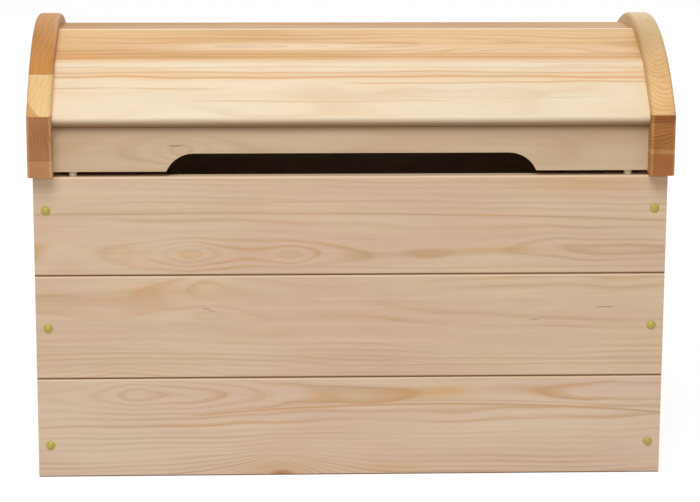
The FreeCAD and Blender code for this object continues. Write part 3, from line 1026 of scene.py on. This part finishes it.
    def dress_board(self, node: str, pine: Pine, along: Vector, inward: Vector) -> None:
        """Dress one wall board, with painted shade on its lower arris and, but for the lowest board, its lower joint.

        Args:
            node: Name of the board.
            pine: Its pine.
            along: Direction of its grain.
            inward: Direction from its good face into the wood.
        """
        low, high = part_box(node)
        rim = 0.0 if node.endswith("bottom") else (high[2] - low[2]) / 2
        self.dress_pine(node, pine, BoardFrame(face_middle(node, inward), along, UP, inward, 1.0, rim))

    def dress_floor(self) -> None:
        """Dress the floor panel and its cleats."""
        plies = Tone.CLEAT.pine(pith_depth=0.3, ring_width=0.012, contrast=0.35, seed=41.0, streaky=0.4)
        frame = BoardFrame(middle_of("floor_panel"), RIGHT, BACK, -UP)
        self.dress("floor_panel", plies.material("floor_ply", frame))
        for index, (name, along) in enumerate((("front", RIGHT), ("back", RIGHT), ("left", BACK), ("right", BACK))):
            pine = Tone.CLEAT.pine(pith_across=0.05, pith_depth=0.03, ring_width=0.003, seed=43.0 + index)
            node = f"floor_cleat_{name}"
            self.dress_pine(node, pine, BoardFrame(middle_of(node), along, along.cross(UP), UP))


# The lid


@dataclass
class LidArc:
    """Arc of the arches' upper edge, worked out of the left arch's box and its rise."""

    rise: float = 0.096
    foot: float = field(init=False)
    half_depth: float = field(init=False)
    radius: float = field(init=False)
    centre: float = field(init=False)
    kink_height: float = field(init=False)

    def __post_init__(self) -> None:
        """Work the arc out."""
        low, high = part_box("left_arch")
        self.foot = low[2]
        self.half_depth = (high[1] - low[1]) / 2
        self.radius = (self.rise ** 2 + self.half_depth ** 2) / (2 * self.rise)
        self.centre = high[2] - self.radius
        self.kink_height = high[2] - self.rise - low[2]


@dataclass
class Lid(Assembly):
    """Planks, rails, cleats and bumpers between two thick arches."""

    arc: LidArc = field(default_factory=LidArc)
    arch_edge: float = 0.0055
    plank_sink: float = 0.012
    nose_setback: float = 0.017
    back_plank_share: float = 0.78
    back_plank_inset: float = 0.01
    plank_names: tuple[str, ...] = ("front", "2", "3", "4", "back")
    arc_steps: int = 64
    edge_steps: int = 6

    RIGHT_CROWN = paint(229, 236, 234)

    def facet_angles(self) -> list[float]:
        """Work out where the planks meet.

        Returns:
            Angles of the plank joints about the arc's centre, from the front.
        """
        radius = self.arc.radius - self.plank_sink
        first = -math.asin((self.arc.half_depth - self.nose_setback) / radius)
        last = math.asin((self.arc.half_depth - self.back_plank_inset) / radius)
        step = (last - first) / (len(self.plank_names) - 1 + self.back_plank_share)
        return [first + index * step for index in range(len(self.plank_names) + 1)]

    def plank_pines(self) -> list[Pine]:
        """Pine of the planks, with the figure that each one shows.

        Returns:
            The pine, from the front plank to the back one.
        """
        pale, honey = paint(246, 222, 190), paint(240, 203, 156)
        front = Tone.LID_PALE.pine(
            pith_across=-0.03, pith_depth=0.16, ring_width=0.009, contrast=0.3, seed=51.0, streaky=0.35,
            # The darker colour and its strength below are painted shade on the front and underside of the plank's
            # nose.
            wander=0.01, waves=2.0, handled=0.9, oil=paint(132, 94, 56),
            stains=(SoftPatch(-0.25, 0.022, 0.25, 0.008, 0.45, honey), SoftPatch(0.2, 0.017, 0.25, 0.012, 0.5, honey)),
            streaks=(Streak(0.0445, 0.0011, 0.45, 0.003), Streak(0.0345, 0.0012, 0.4, 0.005),
                     Streak(0.0195, 0.0045, 0.3, 0.006), Streak(0.0255, 0.0018, 0.7, 0.006),
                     Streak(0.0165, 0.0021, 0.9, 0.007), Streak(0.0075, 0.0016, 0.65, 0.006, 0.0, 0.5),
                     Streak(-0.002, 0.0014, 0.7, 0.003, -0.4, -0.3), Streak(-0.004, 0.0014, 0.6, 0.004, -0.28, -0.17),
                     Streak(-0.026, 0.0011, 0.55, 0.004, -0.2, 0.12), Streak(-0.02, 0.001, 0.4, 0.005, 0.0, 0.3)))
        second = Tone.LID_GOLD.pine(
            pith_across=-0.005, pith_depth=0.05, ring_width=0.005, contrast=0.7, seed=54.0, streaky=1.1, wear=0.35,
            figures=(Figure(-0.12, -0.006, 0.12, 0.012, -3.0), Figure(0.2, -0.02, 0.14, 0.014, 2.0)),
            stains=(SoftPatch(-0.1, -0.006, 0.15, 0.011, 0.8, pale), SoftPatch(-0.02, -0.012, 0.16, 0.008, 0.5, pale),
                    SoftPatch(-0.13, -0.006, 0.03, 0.004, 0.5, paint(214, 172, 140)),
                    SoftPatch(0.3, -0.02, 0.14, 0.018, 0.4, pale)),
            streaks=(Streak(-0.03, 0.0014, 0.8, 0.003), Streak(-0.039, 0.002, 0.7, 0.002),
                     Streak(0.0, 0.0012, 0.5, 0.004, 0.05, 0.5)))
        third = Tone.LID_BROWN.pine(
            pith_across=-0.02, pith_depth=0.07, ring_width=0.006, contrast=0.85, seed=57.0, streaky=1.2, sheen=0.06,
            streaks=(Streak(0.02, 0.003, 0.6), Streak(-0.01, 0.0025, 0.6), Streak(-0.03, 0.002, 0.5, 0.003)))
        fourth = Tone.LID_GOLD.pine(seed=60.0, streaky=0.7, figures=(Figure(0.1, 0.0, 0.12, 0.015, -3.0),))
        back = Tone.LID_PALE.pine(pith_across=0.03, pith_depth=0.07, contrast=0.5, seed=63.0)
        return [front, second, third, fourth, back]

    def build(self) -> None:
        """Dress and build the whole lid."""
        angles = self.facet_angles()
        half_step = (angles[1] - angles[0]) / 2
        for name, pine, angle in zip(self.plank_names, self.plank_pines(), angles):
            self.dress_plank(f"lid_plank_{name}", pine, angle + half_step, half_step)
        self.dress_rails()
        rubber = Plastic(paint(214, 200, 170), paint(196, 180, 146), 0.5, 0.25).material("bumper_rubber")
        for side in ("left", "right"):
            self.dress_cleat(side)
            self.build_arch(side)
            self.dress(f"bumper_{side}", rubber)
        log.info("Lid: planks, rails, cleats, arches and bumpers ready")

    def dress_plank(self, node: str, pine: Pine, angle: float, half_step: float) -> None:
        """Dress one plank, whose face is a chord of the lid's arc.

        Args:
            node: Name of the plank.
            pine: Its pine.
            angle: Angle of its middle about the arc's centre.
            half_step: Half the angle that it spans.
        """
        outward = Vector((0, math.sin(angle), math.cos(angle)))
        reach = (self.arc.radius - self.plank_sink) * math.cos(half_step)
        across = Vector((0, math.cos(angle), -math.sin(angle)))
        # Each plank but the front one gets the painted highlight on its front edge's arris and painted shade on its
        # back edge's arris.
        worn_and_lit_arris = 0.0 if node.endswith("front") else -1.0
        frame = BoardFrame(UP * self.arc.centre + outward * reach, RIGHT, across, -outward, worn_and_lit_arris)
        self.dress_pine(node, pine, frame)

    def dress_rails(self) -> None:
        """Dress the front and back rails."""
        front = Tone.RAIL.pine(
            pith_across=-0.004, pith_depth=0.085, ring_width=0.009, contrast=0.4, seed=71.0, streaky=0.3,
            figures=(Figure(-0.215, -0.006, 0.045, 0.018, -2.8),),
            knots=(Knot(-0.222, -0.002, 0.012, 0.0011, 0.75, Box.GREY),),
            # Painted shadow: the long dark band along the top of the front rail stands for the shade under the lid's
            # nose.
            stains=(SoftPatch(0.0, 0.0245, 3.0, 0.009, 0.7, paint(146, 106, 66)),))
        back = Tone.RAIL.pine(contrast=0.5, seed=74.0)
        for node, pine, inward in (("lid_front_rail", front, BACK), ("lid_back_rail", back, -BACK)):
            self.dress_pine(node, pine, BoardFrame(face_middle(node, inward), RIGHT, UP, inward))

    def dress_cleat(self, side: str) -> None:
        """Dress the cleat inside the left or right arch.

        Args:
            side: Side of the lid.
        """
        node = f"{side}_lid_cleat"
        pine = Tone.CLEAT.pine(pith_depth=0.04, ring_width=0.0032, seed=81.0 + len(side))
        self.dress_pine(node, pine, BoardFrame(middle_of(node), BACK, UP, RIGHT))

    def arch_outline(self, x: float, inset: float) -> list[Point]:
        """Outline of an arch, drawn in by an inset but for its foot.

        Args:
            x: Place of the outline across the chest.
            inset: How far it is drawn in.

        Returns:
            The outline's corners.
        """
        radius = self.arc.radius - inset
        side = self.arc.half_depth - inset
        reach = math.asin(side / radius)
        angles = [reach * (2 * step / self.arc_steps - 1) for step in range(self.arc_steps + 1)]
        crown = [(x, radius * math.sin(angle), self.arc.centre + radius * math.cos(angle)) for angle in angles]
        return [(x, -side, self.arc.foot), *crown, (x, side, self.arc.foot)]

    def build_arch(self, side: str) -> None:
        """Build one arch with rounded edges, in place of its plainer solid.

        Args:
            side: Side of the lid, left or right.
        """
        low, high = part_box(f"{side}_arch")
        turns = [math.pi / 2 * step / self.edge_steps for step in range(self.edge_steps + 1)]
        edge = [(self.arch_edge * (1 - math.sin(turn)), self.arch_edge * (1 - math.cos(turn))) for turn in turns]
        loops = [self.arch_outline(low[0] + depth, inset) for depth, inset in reversed(edge)]
        loops += [self.arch_outline(high[0] - depth, inset) for depth, inset in edge]
        arch = mesh_object(f"{side}_arch_panel", skin(loops))
        arch.data.materials.append(self.arch_material(side))
        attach(arch, "lid")
        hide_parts(f"{side}_arch")

    def arch_boards(self, side: str) -> tuple[Lamella, ...]:
        """Boards that one arch is glued up from.

        Args:
            side: Side of the lid, left or right.

        Returns:
            The boards, from the arch's foot to its crown.
        """
        kink, amber, umber = self.arc.kink_height, paint(196, 142, 78), paint(156, 102, 50)
        if side == "left":
            return (Lamella(0.022, paint(222, 176, 134), paint(188, 132, 90), 0.12, -0.12, 0.003, 0.7),
                    Lamella(kink, paint(199, 149, 106), paint(165, 117, 76), 0.09, 0.02, 0.0045, 0.5),
                    Lamella(0.122, paint(234, 197, 139), paint(220, 172, 108), -0.12, 0.04, 0.007, 0.4,
                            heart=paint(212, 156, 94)),
                    Lamella(1.0, paint(204, 140, 68), paint(170, 114, 50), -0.12, 0.1, 0.0075, 0.4))
        return (Lamella(0.027, paint(200, 140, 84), paint(158, 100, 52), 0.1, -0.05, 0.003, 0.5),
                Lamella(0.034, paint(218, 172, 114), umber, 0.02, -0.1, 0.004, 0.3),
                Lamella(kink - 0.01, amber, umber, 0.02, -0.1, 0.0044, 0.7),
                Lamella(kink, paint(172, 114, 58), paint(132, 80, 38), 0.02, -0.1, 0.004, 0.6),
                Lamella(1.0, paint(236, 191, 134), paint(200, 148, 86), 0.003, 0.165, 0.003, 0.5, stretch=0.6))

    def arch_material(self, side: str) -> Material:
        """Pine of one arch.

        Args:
            side: Side of the lid, left or right.

        Returns:
            The material.
        """
        low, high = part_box(f"{side}_arch")
        foot = face_middle(f"{side}_arch", UP)
        outward, crown = (-RIGHT, GluedPine.crown) if side == "left" else (RIGHT, self.RIGHT_CROWN)
        pine = GluedPine(self.arch_boards(side), (high[0] - low[0]) / 2, 90.0 + len(side), crown=crown)
        return pine.material(f"{side}_arch_pine", foot, outward)


# Steel fittings


@dataclass
class Fittings(Assembly):
    """Hinges and lid stay, with the small screws that hold them, the lid's cleats and the floor.

    The profile of a screw head goes from its foot up, as (share of its radius, height).
    """

    arc: LidArc = field(default_factory=LidArc)
    head_radius: float = 0.0031
    head_profile: tuple[Point2, ...] = ((1.0, -0.0002), (1.0, 0.00018), (0.92, 0.000585), (0.72, 0.0009))
    head_sides: int = 32
    cross_reach: float = 0.6
    cross_bay: float = 0.2
    cross_taper: float = 0.7
    cross_depth: float = 0.0012
    hinge_screws: tuple[Point2, ...] = ((-0.02, 0.0075), (0.0, 0.0135), (0.02, 0.0075))
    leaf_thickness: float = 0.0016
    bracket_thickness: float = 0.002
    bracket_screw_reach: float = 0.0165
    cleat_radius: float = 0.256
    cleat_screws: tuple[float, ...] = (-0.14, -0.05, 0.05, 0.14)
    floor_screws: int = 4
    floor_screw_inset: float = 0.01

    def build(self) -> None:
        """Dress the steel and add the screws."""
        hinge = PlatedSteel(paint(206, 190, 146), paint(186, 164, 108)).material("hinge_zinc")
        stay = PlatedSteel(paint(196, 197, 200), paint(170, 172, 176), 0.3).material("stay_zinc")
        screw = PlatedSteel(paint(216, 208, 186), paint(196, 182, 146), 0.28).material("screw_zinc")
        for node in self.nodes:
            if "_hinge_" in node or node.startswith("stay_"):
                self.dress(node, hinge if "_hinge_" in node else stay)
        self.build_hinge_screws(screw)
        self.build_bracket_screws(stay)
        self.build_cleat_screws(screw)
        self.build_floor_screws(screw)
        log.info("Fittings: hinges and stay dressed, with their screws")

    def head(self, place: Point, axis: Vector) -> Mesh:
        """Domed screw head with a cross recess.

        Args:
            place: Middle of the head on the surface that it is driven into.
            axis: Direction out of the surface.

        Returns:
            The mesh.
        """
        sides, quarter = self.head_sides, self.head_sides // 4
        cross = [self.cross_reach if (side + 1) % quarter <= 2 else self.cross_bay for side in range(sides)]
        rings = [([share] * sides, height) for share, height in self.head_profile]
        top = rings[-1][1]
        rings += [(cross, top), ([share * self.cross_taper for share in cross], top - self.cross_depth)]
        turns = [2 * math.pi * side / sides for side in range(sides)]
        shape = skin([[(self.head_radius * share * math.cos(turn), self.head_radius * share * math.sin(turn), height)
                       for share, turn in zip(shares, turns)] for shares, height in rings])
        shape.transform(Matrix.Translation(place) @ UP.rotation_difference(axis).to_matrix().to_4x4())
        return shape

    def finish(self, name: str, places: Iterable[Point], axis: Vector, steel: Material, body: str,
               slot: str) -> None:
        """Set screws side by side, as one piece that rides on a body.

        Args:
            name: Name of the piece.
            places: Middle of each head on the surface.
            axis: Direction out of the surface.
            steel: Finish of the heads.
            body: Body that they ride on.
            slot: Material slot of the record; not used.
        """
        screws = joined(name, [self.head(place, axis) for place in places])
        screws.data.materials.append(steel)
        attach(screws, body)

    def build_hinge_screws(self, steel: Material) -> None:
        """Screws through the hinge leaves, which lie on the back wall.

        Args:
            steel: Finish of the screws.
        """
        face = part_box("back_board_top")[1][1] + self.leaf_thickness
        for leaf, body, edge, turn in (("box_leaf", "box", 0, 1), ("lid_leaf", "lid", 1, -1)):
            for side in ("left", "right"):
                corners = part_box(f"{side}_hinge_{leaf}")
                middle = (corners[0][0] + corners[1][0]) / 2
                places = [(middle + x, face, corners[edge][2] + turn * z) for x, z in self.hinge_screws]
                self.finish(f"{side}_hinge_{leaf}_screws", places, BACK, steel, body, "hinge_steel")

    def build_bracket_screws(self, steel: Material) -> None:
        """Screws through the plates of the stay's brackets.

        Args:
            steel: Finish of the screws.
        """
        for body in ("box", "lid"):
            x, y, z = face_middle(f"stay_{body}_bracket", RIGHT)
            places = [(x + self.bracket_thickness, y, z + reach * self.bracket_screw_reach) for reach in (-1, 1)]
            self.finish(f"stay_{body}_bracket_screws", places, RIGHT, steel, body, "stay_steel")

    def build_cleat_screws(self, steel: Material) -> None:
        """Screws through the lid's cleats into the arches.

        Args:
            steel: Finish of the screws.
        """
        heights = [self.arc.centre + math.sqrt(self.cleat_radius ** 2 - y ** 2) for y in self.cleat_screws]
        for side, outward in (("left", -RIGHT), ("right", RIGHT)):
            face = face_middle(f"{side}_lid_cleat", outward).x
            places = [(face, y, height) for y, height in zip(self.cleat_screws, heights)]
            self.finish(f"{side}_lid_cleat_screws", places, -outward, steel, "lid", "hinge_steel")

    def build_floor_screws(self, steel: Material) -> None:
        """Screws through the floor panel into its cleats.

        Args:
            steel: Finish of the screws.
        """
        low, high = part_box("floor_panel")
        inset = self.floor_screw_inset
        places = []
        for step in range(self.floor_screws):
            share = (step + 0.5) / self.floor_screws
            x, y = low[0] + share * (high[0] - low[0]), low[1] + share * (high[1] - low[1])
            places += [(x, edge, high[2]) for edge in (low[1] + inset, high[1] - inset)]
            places += [(edge, y, high[2]) for edge in (low[0] + inset, high[0] - inset)]
        self.finish("floor_screws", places, UP, steel, "box", "hinge_steel")


# Studio


@dataclass(frozen=True)
class Lamp:
    """One large soft lamp."""

    name: str
    place: Point
    aim: Point
    size: float
    power: float

    def build(self) -> None:
        """Hang the lamp and aim it."""
        lamp = bpy.data.lights.new(self.name, "AREA")
        lamp.shape = "DISK"
        lamp.size = self.size
        lamp.energy = self.power
        made = bpy.data.objects.new(self.name, lamp)
        made.location = self.place
        made.rotation_euler = (Vector(self.aim) - Vector(self.place)).to_track_quat("-Z", "Y").to_euler()
        bpy.context.scene.collection.objects.link(made)


@dataclass
class Studio:
    """White floor, soft light and the camera."""

    lamps: tuple[Lamp, ...] = (Lamp("key", (-0.6, -2.5, 3.0), (0.0, 0.0, 0.25), 2.0, 68.0),
                               Lamp("top", (0.2, 0.2, 3.4), (0.0, 0.0, 0.4), 2.2, 7.0),
                               Lamp("back", (0.8, 3.4, 2.2), (0.0, 0.0, 0.3), 2.6, 24.0))
    eye: Point = (-0.140, -3.495, 1.065)
    pitch: float = math.radians(13.10)
    yaw: float = math.radians(2.40)
    roll: float = math.radians(0.26)
    focal_pixels: float = 2677.0
    sensor: float = 36.0
    floor_size: float = 60.0

    WHITE = (1.0, 1.0, 1.0, 1.0)
    FLOOR_LIT = (0.8, 0.8, 0.8, 1.0)
    FLOOR_SHOWN = (0.26, 0.26, 0.26, 1.0)
    FLOOR_GLOW = 0.84
    SKY_LIGHT = 0.44
    SKY_SHOWN = 0.6

    def build(self) -> None:
        """Set the stage."""
        self.build_floor()
        self.build_world()
        for lamp in self.lamps:
            lamp.build()
        self.build_camera()
        bpy.context.scene.view_settings.view_transform = "Standard"
        log.info("Studio: floor, world, lamps and camera ready")

    def build_floor(self) -> None:
        """White floor that keeps the chest's shadow."""
        half = self.floor_size / 2
        shape = bmesh.new()
        shape.faces.new([shape.verts.new((x * half, y * half, 0)) for x, y in ((-1, -1), (1, -1), (1, 1), (-1, 1))])
        floor = mesh_object("studio_floor", shape)
        material, graph = new_graph("studio_white")
        shown = graph.shown()
        graph.surface(Base_Color=graph.mix(shown, self.FLOOR_LIT, self.FLOOR_SHOWN),
                      Roughness=graph.noise(*graph.place(), 2.0) * 0.01 + 0.9, Specular_IOR_Level=0.0,
                      Emission_Color=self.WHITE, Emission_Strength=shown * self.FLOOR_GLOW)
        floor.data.materials.append(material)

    def build_world(self) -> None:
        """Even white sky."""
        world = bpy.data.worlds.new("studio_sky")
        bpy.context.scene.world = world
        world.use_nodes = True
        graph = Graph(world.node_tree)
        strength = graph.shown() * self.SKY_SHOWN + self.SKY_LIGHT
        graph.end("OutputWorld", graph.node("Background", {"Color": self.WHITE, "Strength": strength}))

    def build_camera(self) -> None:
        """Camera at the photograph's place, angle and framing."""
        camera = bpy.data.cameras.new("camera")
        camera.sensor_fit = "HORIZONTAL"
        camera.sensor_width = self.sensor
        camera.lens = self.focal_pixels * self.sensor / IMAGE_WIDTH
        made = bpy.data.objects.new("camera", camera)
        turn = Matrix.Rotation(-self.yaw, 4, "Z") @ Matrix.Rotation(math.pi / 2 - self.pitch, 4, "X")
        made.matrix_world = Matrix.Translation(self.eye) @ turn @ Matrix.Rotation(self.roll, 4, "Z")
        bpy.context.scene.collection.objects.link(made)
        bpy.context.scene.camera = made


def build_scene() -> None:
    """Build everything, in order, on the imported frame."""
    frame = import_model()
    nodes = frame["nodes"]
    Studio().build()
    Box(nodes).build()
    Lid(nodes).build()
    Fittings(nodes).build()


if __name__ == "__main__":
    logging.basicConfig(level=logging.INFO, format="%(name)s: %(message)s")
    build_scene()
